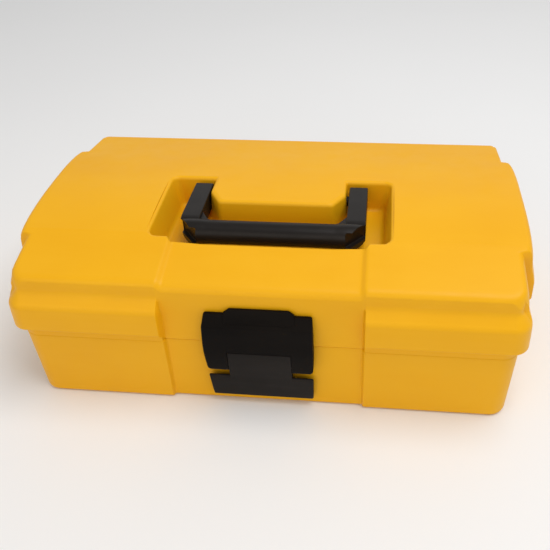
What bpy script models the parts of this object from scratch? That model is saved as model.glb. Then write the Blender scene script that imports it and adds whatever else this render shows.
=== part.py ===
"""Toolbox with a hinged lid, folding carry handle, draw latch and lift-out tray.

Row axes: +X along the box's length, -Y the latch side, +Z up, origin under the middle
of the base.  All sizes are in metres.
"""
import math

import bpy
import bmesh
from mathutils import Vector

MM = 0.001

# ---- driving dimensions -------------------------------------------------------------
LID_X, LID_Y = 168.3 * MM, 102.0 * MM        # half sizes of the lid's skirt
SKIRT_Z = (61.0 * MM, 86.0 * MM)             # skirt bottom and ledge
CREST_Z, CREASE_Z = 113.5 * MM, 109.8 * MM
FRONT_EDGE_Z, BACK_EDGE_Z = 99.5 * MM, 104.0 * MM
CREASE_Y, EDGE_Y = 53.0 * MM, 95.7 * MM      # where the arch ends and the slope ends
PANEL_Y = 57.5 * MM                          # half length of the raised end panels
WALL = 2.5 * MM
CORNER_R = 12.0 * MM
END_SHARE = 0.52                             # how far the ledge runs in at the ends, against the sides

CHANNEL_X, CHANNEL_RAMP, CHANNEL_DEEP = 62.2 * MM, 4.5 * MM, 2.5 * MM
LID_FACE_Y = 95.0 * MM                       # lid's face in the front channel
LID_TONGUE_Z = 54.0 * MM                     # how far down the lid reaches in the channel

POCKET_X, POCKET_Y = 80.0 * MM, (-54.4 * MM, 14.6 * MM)
POCKET_FLOOR = 90.0 * MM
ISLAND_X, ISLAND_Y = 48.4 * MM, -17.2 * MM

TUB_TOP, TUB_BOTTOM = (164.2 * MM, 97.9 * MM), (161.0 * MM, 96.3 * MM)
TUB_RIM_Z, TUB_JOG_Z = 75.0 * MM, 53.6 * MM
TUB_CHANNEL_X = 64.0 * MM

HANDLE_AXIS = (3.5 * MM, 103.5 * MM)         # y, z
GRIP_AXIS = (-41.6 * MM, 104.0 * MM)
HANDLE_X = 0.6 * MM                          # side play taken up, so the handle sits to the right
GRIP_R, ARM_X = 8.6 * MM, (50.0 * MM, 63.0 * MM)
TRUNNION_R = 3.5 * MM

HINGE_AXIS = (106.0 * MM, 57.5 * MM)
HINGE_X, KNUCKLE_R, HINGE_PIN_R = 98.0 * MM, 4.0 * MM, 1.9 * MM

LATCH_X, LATCH_HALF = -1.9 * MM, 35.5 * MM
LEVER_AXIS = (-99.0 * MM, 47.5 * MM)         # y, z of the lever's pin in the tub's bosses
LINK_AXIS = (-99.2 * MM, 38.5 * MM)          # y, z of the link's pin in the lever
LATCH_PIN_R = 1.1 * MM

TRAY = (153.0 * MM, 86.0 * MM)
TRAY_Z = (48.0 * MM, 80.0 * MM)
GAP = 0.3 * MM

NAME = "toolbox_with_tray"


# ---- scene helpers --------------------------------------------------------------------
def clear_scene():
    for obj in list(bpy.data.objects):
        bpy.data.objects.remove(obj, do_unlink=True)


def collection(name):
    coll = bpy.data.collections.new(name)
    bpy.context.scene.collection.children.link(coll)
    return coll


clear_scene()
PARTS = collection(NAME)
CUTTERS = collection("cutters")


def material(name, colour, rough, metal=0.0):
    mat = bpy.data.materials.new(name)
    mat.use_nodes = True
    bsdf = mat.node_tree.nodes["Principled BSDF"]
    bsdf.inputs["Base Color"].default_value = (*colour, 1.0)
    bsdf.inputs["Roughness"].default_value = rough
    bsdf.inputs["Metallic"].default_value = metal
    return mat


def add_object(name, bm, mat=None):
    bmesh.ops.recalc_face_normals(bm, faces=bm.faces)
    mesh = bpy.data.meshes.new(name)
    bm.to_mesh(mesh)
    bm.free()
    obj = bpy.data.objects.new(name, mesh)
    if mat is None:
        CUTTERS.objects.link(obj)
        obj.hide_render = True
        obj.display_type = "WIRE"
    else:
        PARTS.objects.link(obj)
        mesh.materials.append(mat)
        mesh.shade_smooth()
        mesh.set_sharp_from_angle(angle=math.radians(32))
    return obj


def loft(name, rings, mat=None, closed=False):
    """Skin equal-length loops of points; open ends get caps."""
    bm = bmesh.new()
    rows = [[bm.verts.new(p) for p in ring] for ring in rings]
    pairs = list(zip(rows, rows[1:]))
    if closed:
        pairs.append((rows[-1], rows[0]))
    for low, high in pairs:
        for i, vert in enumerate(low):
            j = (i + 1) % len(low)
            bm.faces.new((vert, low[j], high[j], high[i]))
    if not closed:
        bm.faces.new(rows[0][::-1])
        bm.faces.new(rows[-1])
    return add_object(name, bm, mat)


def prism(name, outline, low, high, axis="X", mat=None):
    """Extrude an outline given in the two other axes, in X, Y, Z order."""
    place = {"X": lambda a, b, t: (t, a, b), "Y": lambda a, b, t: (a, t, b),
             "Z": lambda a, b, t: (a, b, t)}[axis]
    return loft(name, [[place(a, b, t) for a, b in outline] for t in (low, high)], mat)


def box(name, low, high, mat=None):
    outline = [(low[0], low[1]), (high[0], low[1]), (high[0], high[1]), (low[0], high[1])]
    return prism(name, outline, low[2], high[2], "Z", mat)


def circle(cy, cz, r, n=24):
    step = 2 * math.pi / n
    return [(cy + r * math.cos(i * step), cz + r * math.sin(i * step)) for i in range(n)]


def rod(name, centre, r, x0, x1, mat=None, n=24):
    return prism(name, circle(*centre, r, n), x0, x1, "X", mat)


def boolean(target, tool, operation="DIFFERENCE"):
    mod = target.modifiers.new(tool.name, "BOOLEAN")
    mod.operation = operation
    mod.solver = "EXACT"
    mod.object = tool
    return target


def arc(cx, cy, r, a0, a1, n):
    return [(cx + r * math.cos(math.radians(a0 + (a1 - a0) * i / n)),
             cy + r * math.sin(math.radians(a0 + (a1 - a0) * i / n))) for i in range(n + 1)]


def plan(hx, hy, r, n=5, notch=None):
    """Rounded rectangle, anticlockwise; notch = (inner x, outer x, depth) on the -Y side."""
    pts = arc(-hx + r, -hy + r, r, 180, 270, n)
    if notch:
        inner, outer, deep = notch
        pts += [(-outer, -hy), (-inner, -hy + deep), (inner, -hy + deep), (outer, -hy)]
    for cx, cy, a in ((hx - r, -hy + r, 270), (hx - r, hy - r, 0), (-hx + r, hy - r, 90)):
        pts += arc(cx, cy, r, a, a + 90, n)
    return pts


def at_z(points, z):
    return [(x, y, z) for x, y in points]


# ---- materials --------------------------------------------------------------------------
YELLOW_LID = material("yellow_polypropylene_lid", (0.83, 0.42, 0.012), 0.42)
YELLOW_TUB = material("yellow_polypropylene_tub", (0.83, 0.40, 0.012), 0.45)
BLACK_HANDLE = material("black_polypropylene_handle", (0.022, 0.019, 0.018), 0.4)
BLACK_LINK = material("black_polypropylene_latch", (0.022, 0.019, 0.018), 0.4)
BLACK_LEVER = material("black_polypropylene_lever", (0.024, 0.021, 0.02), 0.4)
BLACK_TRAY = material("black_polypropylene_tray", (0.028, 0.026, 0.025), 0.5)
STEEL_LEVER_PIN = material("steel_lever_pin", (0.55, 0.55, 0.56), 0.3, 1.0)
STEEL_LINK_PIN = material("steel_link_pin", (0.55, 0.55, 0.56), 0.3, 1.0)
STEEL_HINGE_LEFT = material("steel_hinge_pin_left", (0.55, 0.55, 0.56), 0.3, 1.0)
STEEL_HINGE_RIGHT = material("steel_hinge_pin_right", (0.55, 0.55, 0.56), 0.3, 1.0)


# ---- lid ----------------------------------------------------------------------------------
def top_z(y):
    """Height of the lid's top: an arch between the creases and a slope beyond them."""
    a = abs(y)
    if a <= CREASE_Y:
        return CREST_Z - (CREST_Z - CREASE_Z) * (a / CREASE_Y) ** 2
    edge = FRONT_EDGE_Z if y < 0 else BACK_EDGE_Z
    return CREASE_Z - (CREASE_Z - edge) * (a - CREASE_Y) / (EDGE_Y - CREASE_Y)


def top_line(drop, limit=EDGE_Y):
    ys = [-limit + 4.5 * MM, -80 * MM, -66 * MM, -55 * MM, -52 * MM, -45 * MM, -36 * MM,
          -24 * MM, -12 * MM, 0.0]
    ys += [-y for y in reversed(ys[:-1])]
    return [(y, top_z(y) - drop) for y in ys]


def arch(name, drop=0.0, inset=0.0):
    """Everything under the lid's top, as one long prism."""
    rim = ((-1.2, 5.0), (0.0, 3.0), (0.7, 1.5), (2.2, 0.35))
    front = [(-EDGE_Y + inset + d * MM, FRONT_EDGE_Z - drop - h * MM) for d, h in rim]
    back = [(EDGE_Y - inset - d * MM, BACK_EDGE_Z - drop - h * MM) for d, h in rim]
    outline = [(-0.115, 0.05), (-0.115, 0.090)] + front + top_line(drop, EDGE_Y - inset)
    outline += back[::-1] + [(0.115, 0.090), (0.115, 0.05)]
    return prism(name, outline, -0.185, 0.185)


def lid_block(name, grow, mat=None):
    """Skirt, ledge and wall, grown by the given amount (negative for the inside)."""
    low, ledge = SKIRT_Z
    steps = [(low, 2.2), (low + 0.7 * MM, 1.0), (low + 2.0 * MM, 0.2), (low + 3.2 * MM, 0.0),
             (ledge - 8.5 * MM, 0.0), (ledge - 6.2 * MM, 0.5), (ledge - 4.2 * MM, 1.7),
             (ledge - 1.4 * MM, 4.4), (ledge + 0.6 * MM, 6.0), (ledge + 2.6 * MM, 6.7),
             (ledge + 4.6 * MM, 6.8), (ledge + 12 * MM, 6.3), (0.118, 6.3)]
    if grow < 0:
        steps = [(0.055, 0.0), (ledge - 10.4 * MM, 0.0), (ledge - 7.2 * MM, 1.6),
                 (ledge - 4.4 * MM, 4.0), (ledge - 1.2 * MM, 6.6), (0.118, 6.3)]
    rings = []
    for z, inset in steps:
        end, side = inset * END_SHARE * MM - grow, inset * MM - grow
        rings.append(at_z(plan(LID_X - end, LID_Y - side, max(CORNER_R - side, 5 * MM)), z))
    return loft(name, rings, mat)


def end_panel(name, side, grow=0.0):
    """Raised panel on one end of the lid, between the creases."""
    outline = [(0.150, 0.0645), (0.1670, 0.0645), (0.1757, 0.0695), (0.1757, 0.0840),
               (0.1732, 0.0940), (0.1710, 0.1050), (0.1702, 0.1180), (0.150, 0.1180)]
    outline = [((x + grow) * side, z - grow * 0.5) for x, z in outline]
    half = PANEL_Y + grow
    return prism(name, outline, -half, half, "Y")


def channel_front(name, grow):
    """Plan of what is missing in front of the lid's channel face, with rounded jambs."""
    y = -LID_FACE_Y + grow
    half = [(64.8, 0.0), (65.0, -3.5), (65.3, -5.4), (66.0, -6.6), (67.2, -7.1), (67.2, -30)]
    right = [(x * MM + grow, y + d * MM - (grow if i else 0)) for i, (x, d) in enumerate(half)]
    left = [(-x, yy) for x, yy in reversed(right)]
    return prism(name, left + right, 0.04, 0.14, "Z")


def channel_top(name, grow):
    """Shallow trough down the front slope, with a ramp along each side."""
    rings = []
    for x, drop in ((-1, -0.4), (-1, 1), (1, 1), (1, -0.4)):
        wide = CHANNEL_X + (CHANNEL_RAMP if drop < 0 else 0.0) + grow
        deep = CHANNEL_DEEP * (drop if drop > 0 else -0.12) + grow
        line = [(-0.112, FRONT_EDGE_Z - deep - 4 * MM), (-0.0985, FRONT_EDGE_Z - deep - 2 * MM)]
        line += [(y, z) for y, z in top_line(deep) if y < -54 * MM]
        line += [(-40 * MM, line[-1][1] + 2.6 * MM), (-40 * MM, 0.13), (-0.112, 0.13)]
        rings.append([(x * wide, y, z) for y, z in line])
    return loft(name, rings)


def pocket_plan(g, r, lean=0.0):
    """Outline of the handle's pocket; g grows the hole, so it shrinks the island."""
    x, (y0, y1) = POCKET_X + g - lean, POCKET_Y
    y0, y1, ix, iy = y0 - g, y1 + g, ISLAND_X - g, ISLAND_Y + g
    step = [(-68 * MM, y0), (-65 * MM, y0 - 3.0 * MM), (65 * MM, y0 - 3.0 * MM), (68 * MM, y0)]
    pts = arc(-x + r, y0 + r, r, 180, 270, 4) + step + arc(x - r, y0 + r, r, 270, 360, 4)
    pts += arc(x - r, y1 - r, r, 0, 90, 4)
    pts += [(ix, y1), (ix, iy + 14 * MM)]
    pts += [(ix - 1.0 * MM, iy + 11.5 * MM), (ix - 7.5 * MM, iy + 1.4 * MM), (ix - 10 * MM, iy)]
    pts += [(-ix + 10 * MM, iy), (-ix + 7.5 * MM, iy + 1.4 * MM), (-ix + 1.0 * MM, iy + 11.5 * MM)]
    pts += [(-ix, iy + 14 * MM), (-ix, y1)]
    pts += arc(-x + r, y1 - r, r, 90, 180, 4)
    return pts


def pocket(name, g):
    floor = POCKET_FLOOR - g
    return loft(name, [at_z(pocket_plan(g - 2.6 * MM, 3 * MM, 4.2 * MM), floor),
                       at_z(pocket_plan(g - 1.2 * MM, 4 * MM, 3.6 * MM), floor + 1.2 * MM),
                       at_z(pocket_plan(g - 0.9 * MM, 4 * MM, 3.2 * MM), floor + 3.0 * MM),
                       at_z(pocket_plan(g + 0.2 * MM, 4 * MM), 0.112),
                       at_z(pocket_plan(g + 1.6 * MM, 5 * MM), 0.1135 + 0.4 * MM),
                       at_z(pocket_plan(g + 1.6 * MM, 5 * MM), 0.13)])


def build_lid():
    lid = lid_block("lid_shell", 0.0, YELLOW_LID)
    for side in (-1, 1):
        boolean(lid, end_panel("end_panel_out_%+d" % side, side), "UNION")
    tongue = prism("lid_tongue", [(-0.0649, -0.0958), (0.0649, -0.0958), (0.0633, -0.0926),
                                  (-0.0633, -0.0926)], LID_TONGUE_Z, 0.076, "Z")
    boolean(lid, tongue, "UNION")
    boolean(lid, arch("arch_out"), "INTERSECT")
    boolean(lid, channel_front("channel_front_out", 0.0))
    boolean(lid, channel_top("channel_top_out", 0.0))
    boolean(lid, pocket("pocket_out", 0.0))

    hollow = lid_block("lid_hollow", -WALL)
    for side in (-1, 1):
        boolean(hollow, end_panel("end_panel_in_%+d" % side, side, -WALL), "UNION")
    boolean(hollow, arch("arch_in", WALL * 1.04, WALL), "INTERSECT")
    boolean(hollow, channel_front("channel_front_in", WALL))
    boolean(hollow, channel_top("channel_top_in", WALL))
    boolean(hollow, pocket("pocket_in", WALL))
    boolean(lid, hollow)

    y, z = HINGE_AXIS
    for side in (-1, 1):
        x = side * HINGE_X
        knuckle = rod("lid_knuckle_%+d" % side, HINGE_AXIS, KNUCKLE_R, x - 9 * MM, x + 9 * MM)
        web = prism("lid_web_%+d" % side,
                    [(y - 6.2 * MM, z - 1.5 * MM), (y + 2.6 * MM, z - 1.5 * MM), (y + 3.0 * MM, z + 1.0 * MM),
                     (y - 3.9 * MM, z + 12 * MM), (y - 6.2 * MM, z + 12 * MM)], x - 8.6 * MM, x + 8.6 * MM)
        boolean(lid, web, "UNION")
        boolean(lid, knuckle, "UNION")
        bore = rod("lid_bore_%+d" % side, HINGE_AXIS, HINGE_PIN_R + 0.15 * MM,
                   x - 12 * MM, x + 12 * MM)
        boolean(lid, bore)
        boss = rod("trunnion_hole_%+d" % side, HANDLE_AXIS, TRUNNION_R + 0.35 * MM,
                   side * 42.5 * MM, side * 49.9 * MM)
        block = prism("trunnion_boss_%+d" % side, circle(*HANDLE_AXIS, 6.5 * MM),
                      side * 40.5 * MM, side * (ISLAND_X - 1.0 * MM), "X")
        boolean(lid, block, "UNION")
        boolean(lid, boss)
    return lid


# ---- tub ----------------------------------------------------------------------------------
def tub_ring(z, inset, jog):
    t = z / (61 * MM)
    hx = TUB_BOTTOM[0] + (TUB_TOP[0] - TUB_BOTTOM[0]) * min(t, 1.0) - inset
    hy = TUB_BOTTOM[1] + (TUB_TOP[1] - TUB_BOTTOM[1]) * min(t, 1.0) - inset
    deep = hy + inset - 91.9 * MM
    notch = ((TUB_CHANNEL_X, TUB_CHANNEL_X + 2.0 * MM, (2.2 + 1.4 * t) * MM), (63.7 * MM, 67.3 * MM, deep),
             (68.2 * MM, 74.6 * MM, deep))[jog]
    notch = (notch[0] + inset * 0.4, notch[1] + inset * 0.4, notch[2])
    return at_z(plan(hx, hy, max(CORNER_R - inset, 4 * MM), 5, notch), z)


def build_tub():
    rings = [tub_ring(z * MM, i * MM, 0) for z, i in
             ((0.0, 3.0), (0.4, 1.6), (1.3, 0.6), (2.8, 0.0), (53.1, 0.0))]
    rings += [tub_ring(TUB_JOG_Z, 0.0, 1), tub_ring(60.3 * MM, 0.0, 1)]
    rings += [tub_ring(z, i, 2) for z, i in
              ((60.7 * MM, 0.0), (TUB_RIM_Z - 0.6 * MM, 0.0), (TUB_RIM_Z, 0.5 * MM),
               (TUB_RIM_Z, WALL - 0.5 * MM), (TUB_RIM_Z - 0.6 * MM, WALL), (58.5 * MM, WALL))]
    rings += [tub_ring(57.8 * MM, WALL, 1), tub_ring(TUB_JOG_Z - WALL, WALL, 1)]
    rings += [tub_ring(z * MM, i * MM, 0) for z, i in ((50.0, 2.5), (6.0, 2.5), (3.4, 3.4),
                                                         (2.5, 5.2))]
    tub = loft("base_tub", rings, YELLOW_TUB)
    for side in (-1, 1):
        ledge = prism("tray_ledge_%+d" % side,
                      [(side * x * MM, z * MM) for x, z in
                       ((162.0, 36.0), (155.0, 39.5), (145.5, 45.0), (145.5, 47.7), (162.0, 47.7))],
                      -58 * MM, 58 * MM, "Y")
        boolean(tub, ledge, "UNION")
    y, z = HINGE_AXIS
    for side in (-1, 1):
        for k in (-1, 1):
            x0 = side * HINGE_X + k * 9.4 * MM
            x1 = x0 + k * 6.5 * MM
            web = prism("tub_web_%+d_%+d" % (side, k),
                        [(96.7 * MM, z - 10 * MM), (y + 2.4 * MM, z - 3.2 * MM), (y + 2.4 * MM, z),
                         (96.7 * MM, z + 0.6 * MM)], x0, x1)
            boolean(tub, web, "UNION")
            boolean(tub, rod("tub_knuckle_%+d_%+d" % (side, k), HINGE_AXIS, KNUCKLE_R,
                             x0 - k * 0.05 * MM, x1 + k * 0.05 * MM), "UNION")
        boolean(tub, rod("tub_bore_%+d" % side, HINGE_AXIS, HINGE_PIN_R + 0.35 * MM,
                         side * HINGE_X - 17 * MM, side * HINGE_X + 17 * MM))
    y, z = LEVER_AXIS
    for side in (-1, 1):
        x = LATCH_X + side * 15.0 * MM
        boss = prism("latch_boss_%+d" % side,
                     [(-93.4 * MM, z - 6 * MM), (y + 1.5 * MM, z - 2.1 * MM), (y - 0.8 * MM, z - 2.1 * MM),
                      (y - 2.1 * MM, z - 0.9 * MM), (y - 2.1 * MM, z + 0.9 * MM),
                      (y - 0.8 * MM, z + 2.1 * MM), (-93.4 * MM, z + 2.1 * MM)],
                     x - 2.2 * MM, x + 2.2 * MM)
        boolean(tub, boss, "UNION")
    boolean(tub, rod("latch_boss_bore", LEVER_AXIS, LATCH_PIN_R + 0.35 * MM, -25 * MM, 25 * MM))
    return tub


# ---- hinge and latch pins -------------------------------------------------------------------
def build_pin(name, centre, r, x0, x1, mat):
    steps = ((x0, 0.8), (x0 + 0.4 * MM, 1.0), (x1 - 0.4 * MM, 1.0), (x1, 0.8))
    rings = [[(x, cy, cz) for cy, cz in circle(*centre, r * k, 20)] for x, k in steps]
    return loft(name, rings, mat)


# ---- carry handle -----------------------------------------------------------------------------
def build_handle():
    """U-shaped bail: a round grip, two flat arms and a trunnion at each arm's end."""
    gy, gz = GRIP_AXIS
    inner, outer = ARM_X
    stations = ((-outer + 0.2 * MM, 0.9), (-outer + 4.6 * MM, 1.0), (-44.5 * MM, 1.0), (-41 * MM, 0.93),
                (41 * MM, 0.93), (44.5 * MM, 1.0), (outer - 4.6 * MM, 1.0), (outer - 0.2 * MM, 0.9))
    rings = [[(x + HANDLE_X, y, z) for y, z in circle(gy, gz, GRIP_R * k, 24)] for x, k in stations]
    handle = loft("carry_handle", rings, BLACK_HANDLE)
    for side in (-1, 1):
        side_line = [(11.2, 99.5), (11.2, 109.6), (9.8, 111.6), (-33.5, 112.0), (-38.0, 110.8),
                     (-40.5, 109.2), (-40.5, 98.0), (-36.0, 97.2), (3.0, 97.0), (8.0, 97.4)]
        arm = prism("handle_arm_%+d" % side, [(y * MM, z * MM) for y, z in side_line],
                    HANDLE_X + side * inner, HANDLE_X + side * outer, "X")
        boolean(handle, arm, "UNION")
        gusset = prism("handle_gusset_%+d" % side,
                       [(HANDLE_X + side * x * MM, y * MM) for x, y in
                        ((52, -19), (52, -41), (39, -41), (39, -37), (45, -33.5), (49.6, -26))],
                       gz - 3.5 * MM, gz + 5.5 * MM, "Z")
        boolean(handle, gusset, "UNION")
        corner = [(64.5, -35.0), (51.5, -50.9), (51.5, -60.0), (70.0, -60.0), (70.0, -35.0)]
        boolean(handle, prism("handle_corner_%+d" % side,
                              [(HANDLE_X + side * x * MM, y * MM) for x, y in corner], 0.09, 0.12, "Z"))
        boolean(handle, rod("handle_trunnion_%+d" % side, HANDLE_AXIS, TRUNNION_R,
                            HANDLE_X + side * 43.5 * MM, HANDLE_X + side * (inner + 2 * MM)), "UNION")
    return handle


# ---- draw latch -------------------------------------------------------------------------------
def build_link():
    """Upper plate that lies over the lid's face, with two legs down to the lever's pin."""
    back = [(-95.5, 33.8), (-95.5, 78.4)]
    front = [(-97.2, 80.0), (-98.6, 79.4), (-101.6, 72.6), (-102.4, 60.0), (-102.2, 51.0),
             (-101.1, 36.0), (-100.7, 33.8)]
    outline = [(y * MM, z * MM) for y, z in back + front]
    x0, x1 = LATCH_X - LATCH_HALF, LATCH_X + LATCH_HALF
    link = prism("latch_link", outline, x0, x1, "X", BLACK_LINK)
    cap = prism("link_cap", [(y * MM, z * MM) for y, z in
                             ((-95.5, 74), (-95.5, 82.4), (-97.0, 83.8), (-98.2, 83.0), (-100.8, 75.6))],
                LATCH_X - 23 * MM, LATCH_X + 24.5 * MM)
    boolean(link, cap, "UNION")
    hollow = [(-90, 28), (-90, 73.4), (-98.9, 72.2), (-99.8, 60.0), (-99.6, 51.0), (-98.6, 41.0),
              (-98.4, 28)]
    tool = prism("link_hollow", [(y * MM, z * MM) for y, z in hollow],
                 x0 + 3 * MM, x1 - 3 * MM)
    boolean(link, tool)
    window = box("link_window", (LATCH_X - 21.3 * MM, -0.11, 0.02),
                 (LATCH_X + 21.3 * MM, -0.09, 51.2 * MM))
    boolean(link, window)
    y, z = LINK_AXIS
    for side in (-1, 1):
        xa, xb = (LATCH_X + side * 21.4 * MM, LATCH_X + side * 26.5 * MM)
        lug = prism("link_lug_%+d" % side, [(y - 1.2 * MM, z - 3.4 * MM), (y + 2.2 * MM, z - 3.4 * MM),
                                        (y + 3.4 * MM, z - 1.5 * MM), (y + 3.4 * MM, z + 2.0 * MM),
                                        (y + 2.2 * MM, z + 3.6 * MM), (y - 1.2 * MM, z + 3.6 * MM)], xa, xb)
        boolean(link, lug, "UNION")
    boolean(link, rod("link_bore", LINK_AXIS, LATCH_PIN_R + 0.15 * MM, -30 * MM, 28 * MM))
    return link


def build_lever():
    """Lower part: a centre panel between the link's legs and a full-width thumb tab."""
    y, z = LEVER_AXIS
    panel = [(-97.2, 50.2), (-101.6, 50.7), (-102.1, 50.2), (-101.2, 36.5), (-99.2, 20.0), (-98.1, 8.5),
             (-96.8, 8.0), (-95.0, 9.6), (-95.6, 20.0), (-96.6, 30.0), (-96.6, 49.6)]
    lever = prism("latch_lever", [(a * MM, b * MM) for a, b in panel],
                  LATCH_X - 20.9 * MM, LATCH_X + 20.9 * MM, "X", BLACK_LEVER)
    tab = [(-100.1, 28.6), (-99.2, 20.0), (-98.1, 8.5), (-96.8, 8.0), (-95.0, 9.6), (-95.6, 20.0),
           (-95.9, 28.6)]
    boolean(lever, prism("lever_tab", [(a * MM, b * MM) for a, b in tab],
                         LATCH_X - 34.6 * MM, LATCH_X + 34.6 * MM), "UNION")
    for side in (-1, 1):
        x = LATCH_X + side * 15.0 * MM
        boolean(lever, box("lever_slot_%+d" % side, (x - 2.7 * MM, y - 2.5 * MM, z - 7 * MM),
                           (x + 2.7 * MM, -0.09, z + 7 * MM)))
    boolean(lever, rod("lever_bore", LEVER_AXIS, LATCH_PIN_R + 0.15 * MM, -30 * MM, 30 * MM))
    boolean(lever, rod("lever_link_bore", LINK_AXIS, LATCH_PIN_R + 0.35 * MM, -30 * MM, 30 * MM))
    return lever


# ---- tray -------------------------------------------------------------------------------------
def build_tray():
    """Lift-out tray: thin floor and walls, three cross walls, a long wall and a grab bar."""
    z0, z1 = TRAY_Z
    hx, hy = TRAY
    lip = 2.6 * MM

    def ring(z, inset):
        return at_z(plan(hx - inset, hy - inset, 10 * MM - min(inset, 5 * MM), 5), z)

    rings = [ring(z0, 6.5 * MM), ring(z0 + 0.8 * MM, 5.2 * MM), ring(z0 + 2.4 * MM, 4.6 * MM),
             ring(z1 - 2.4 * MM, lip + 0.8 * MM), ring(z1 - 2.4 * MM, 0.0), ring(z1 - 0.4 * MM, 0.0),
             ring(z1, 0.5 * MM), ring(z1, lip + 2.2 * MM), ring(z1 - 0.6 * MM, lip + 2.8 * MM),
             ring(z0 + 4.0 * MM, 6.6 * MM), ring(z0 + 2.2 * MM, 8.5 * MM)]
    tray = loft("lift_out_tray", rings, BLACK_TRAY)
    top = z1 - 4 * MM
    walls = [((-0.1485, -0.9 * MM), (0.1485, 0.9 * MM), top),
             ((-52.0 * MM, -0.0815), (-50.2 * MM, 0.0815), top),
             ((50.2 * MM, -0.0815), (52.0 * MM, 0.0815), top),
             ((-101.5 * MM, -0.0005), (-99.7 * MM, 0.0815), top - 3 * MM),
             ((99.7 * MM, -0.0815), (101.5 * MM, 0.0005), top - 3 * MM)]
    for i, ((xa, ya), (xb, yb), z) in enumerate(walls):
        boolean(tray, box("tray_wall_%d" % i, (xa, ya, z0 + 1.5 * MM), (xb, yb, z)), "UNION")
    half = 46.0 * MM
    grab = [(-half, z0 + 2 * MM), (-half, z1 - 1 * MM), (-half + 5 * MM, z1 + 5.0 * MM),
            (half - 5 * MM, z1 + 5.0 * MM), (half, z1 - 1 * MM), (half, z0 + 2 * MM)]
    boolean(tray, prism("tray_grab", grab, -3.2 * MM, 3.2 * MM, "Y"), "UNION")
    hole = [(-half + 8 * MM, z1 - 13 * MM), (-half + 8 * MM, z1 - 3.5 * MM), (-half + 11 * MM, z1 - 0.5 * MM),
            (half - 11 * MM, z1 - 0.5 * MM), (half - 8 * MM, z1 - 3.5 * MM), (half - 8 * MM, z1 - 13 * MM)]
    boolean(tray, prism("tray_grab_hole", hole, -8 * MM, 8 * MM, "Y"))
    return tray


build_tub()
build_lid()
build_handle()
build_link()
build_lever()
build_tray()
build_pin("latch_lever_pin", LEVER_AXIS, LATCH_PIN_R, LATCH_X - 20.5 * MM, LATCH_X + 20.5 * MM,
          STEEL_LEVER_PIN)
build_pin("latch_link_pin", LINK_AXIS, LATCH_PIN_R, LATCH_X - 25.5 * MM, LATCH_X + 25.5 * MM,
          STEEL_LINK_PIN)
build_pin("hinge_pin_left", HINGE_AXIS, HINGE_PIN_R, -HINGE_X - 17 * MM, -HINGE_X + 17 * MM,
          STEEL_HINGE_LEFT)
build_pin("hinge_pin_right", HINGE_AXIS, HINGE_PIN_R, HINGE_X - 17 * MM, HINGE_X + 17 * MM,
          STEEL_HINGE_RIGHT)
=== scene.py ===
"""Looks of a yellow moulded toolbox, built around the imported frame.

Shapes are worked out in millimetres in the row frame: -Y is the latch side, +Z is up.
"""

import math

import bpy
import bmesh
import numpy as np
from mathutils import Matrix, Vector


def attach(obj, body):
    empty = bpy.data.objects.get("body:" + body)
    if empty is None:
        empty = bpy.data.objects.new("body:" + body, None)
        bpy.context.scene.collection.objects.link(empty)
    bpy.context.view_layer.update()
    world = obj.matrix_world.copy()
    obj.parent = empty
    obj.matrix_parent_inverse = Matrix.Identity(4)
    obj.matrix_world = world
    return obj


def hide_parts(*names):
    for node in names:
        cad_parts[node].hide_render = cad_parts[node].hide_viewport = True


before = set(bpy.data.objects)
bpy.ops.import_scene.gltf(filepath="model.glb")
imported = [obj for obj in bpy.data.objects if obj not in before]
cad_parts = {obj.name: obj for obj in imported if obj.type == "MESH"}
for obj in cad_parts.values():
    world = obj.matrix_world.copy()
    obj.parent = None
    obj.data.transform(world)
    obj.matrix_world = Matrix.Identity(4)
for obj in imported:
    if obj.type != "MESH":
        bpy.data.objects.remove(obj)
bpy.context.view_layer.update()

# ---- shared dimensions, in mm ---------------------------------------------------------
LID_X, LID_Y, CORNER = 168.3, 102.0, 12.0
CREST, CREASE_Y, CREASE_Z, EDGE_Y = 113.5, 53.0, 109.8, 95.7
FRONT_EDGE_Z, BACK_EDGE_Z = 99.5, 104.0
TUB_TOP, TUB_BOTTOM = (164.2, 97.9), (161.0, 96.3)
WALL = 2.5
CHANNEL_X, CHANNEL_DEEP, JAMB_X = 62.0, 2.5, 64.6
POCKET_X, POCKET_FRONT, POCKET_BACK, POCKET_FLOOR = 80.0, -54.4, 14.6, 90.0
ISLAND_X, ISLAND_Y = 48.4, -17.2
PANEL_Y, END_DRAW = 57.5, 3.0
HANDLE_AXIS, TRUNNION_R = (3.5, 103.5), 3.5
GRIP, HANDLE_X = (-41.6, 104.0), 0.6
HINGE, HINGE_X, KNUCKLE_R, HINGE_PIN_R = (106.0, 57.5), 98.0, 4.0, 1.9
LATCH_X = -1.9
LEVER_AXIS, LINK_AXIS, PIN_R = (-99.0, 47.5), (-99.2, 38.5), 1.1
SKIRT_FOOT_Z, PAST_TOP_Z = 61.0, 122.0
TUB_FOOT_R, TUB_CHANNEL_Y = 3.0, -91.9
TRAY_X, TRAY_Y, TRAY_Z = 153.0, 86.0, (48.0, 80.0)

# the camera: lens in mm on a 36 mm sensor, angles in radians, place in metres
LENS, SHIFT = 46.557818, (-0.05745455, -0.09581818)
PITCH, YAW, ROLL = 0.5878, 0.1228, -0.0329
CAMERA_PLACE = (0.0727, -0.4302, 0.3753)


def smooth(t):
    t = np.clip(t, 0.0, 1.0)
    return t * t * (3 - 2 * t)


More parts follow.
